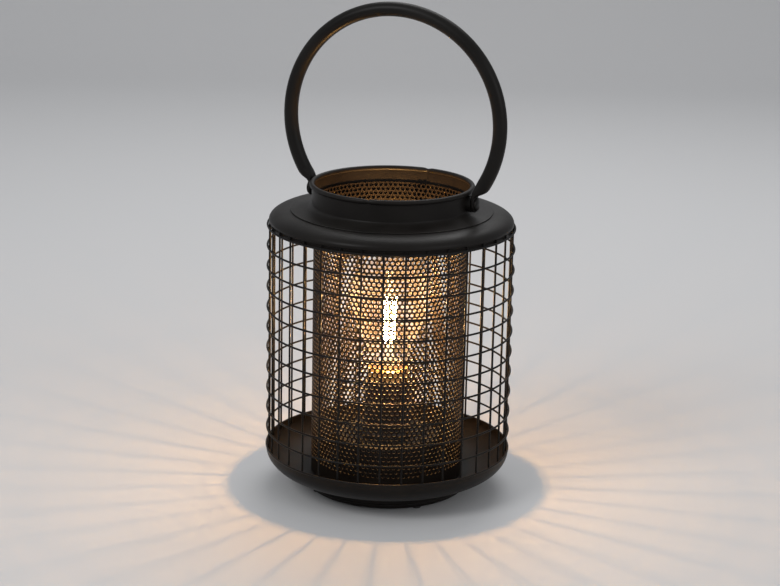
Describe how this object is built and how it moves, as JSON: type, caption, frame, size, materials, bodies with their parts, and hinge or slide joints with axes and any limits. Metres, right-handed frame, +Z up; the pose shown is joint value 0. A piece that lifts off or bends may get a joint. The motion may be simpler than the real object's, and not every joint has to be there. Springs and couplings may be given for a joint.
{
  "type": "lantern table lamp",
  "caption": "Battery lantern table lamp: round wire cage and perforated sleeve between a spun dish base and a pressed shoulder, open rolled neck, warm filament bulb and a swinging bail",
  "frame": {"origin": "centre of the foot, on the table under the rubber pads", "axes": "+Z up; X along the bail's pivots; -Y towards the side that the picture shows, turned 21 degrees; the lap seam of the sleeve is at +Y"},
  "size_m": [0.202, 0.202, 0.4013],
  "materials": {
    "black_metal": "satin black powder coat on steel sheet",
    "wire_black": "satin black powder coat on steel wire",
    "sleeve_metal": "matt black coat on perforated steel sheet",
    "handle_metal": "satin black powder coat on steel tube",
    "stud_metal": "dark nickelled steel",
    "pad_rubber": "matt black rubber",
    "housing_plastic": "matt black moulding",
    "screw_steel": "zinc plated steel",
    "cell_jacket": "plain printed film jacket",
    "contact_metal": "nickel plated strip",
    "board_green": "solder resist on laminate",
    "switch_plastic": "pale moulding",
    "knob_plastic": "black moulding",
    "holder_plastic": "matt black phenolic moulding",
    "ceramic_white": "off-white ceramic",
    "contact_brass": "plain brass",
    "lead_insulation": "red insulation",
    "cap_metal": "nickelled screw cap",
    "tip_black": "black glass insulator",
    "collar_gold": "satin gold collar",
    "bulb_glass": "clear glass with a warm tint",
    "stem_glass": "clear glass",
    "filament_phosphor": "yellow phosphor on filament strips, lit"
  },
  "bodies": {
    "lamp": {"base_dish": "black_metal", "foot_ring": "black_metal", "foot_pads": "pad_rubber", "cage_uprights": "wire_black", "cage_rings": "wire_black", "shoulder": "black_metal", "neck_collar": "black_metal", "perforated_sleeve": "sleeve_metal", "ear_left": "black_metal", "ear_right": "black_metal", "stud_left": "stud_metal", "stud_right": "stud_metal", "battery_housing": "housing_plastic", "housing_base": "housing_plastic", "housing_screws": "screw_steel", "battery_cells": "cell_jacket", "battery_contacts": "contact_metal", "circuit_board": "board_green", "switch_body": "switch_plastic", "lamp_holder": "holder_plastic", "holder_insert": "ceramic_white", "holder_thread": "contact_brass", "holder_contact": "contact_brass", "holder_leads": "lead_insulation", "bulb_cap": "cap_metal", "bulb_tip": "tip_black", "bulb_collar": "collar_gold", "bulb_glass": "bulb_glass", "bulb_stem": "stem_glass", "bulb_filaments": "filament_phosphor"},
    "bail": {"handle": "handle_metal"},
    "door": {"battery_door": "housing_plastic"},
    "knob": {"switch_knob": "knob_plastic"}
  },
  "joints": [
    {"name": "bail_swing", "type": "hinge", "parent": "lamp", "child": "bail", "pos_m": [0, 0, 0.2455], "axis": [1, 0, 0], "range_deg": [-100, 100]},
    {"name": "door_hinge", "type": "hinge", "parent": "lamp", "child": "door", "pos_m": [0, 0.02955, 0.0152], "axis": [1, 0, 0], "range_deg": [0, 80]},
    {"name": "power_slide", "type": "slide", "parent": "lamp", "child": "knob", "axis": [0, 1, 0], "range_m": [0, 0.004]}
  ]
}
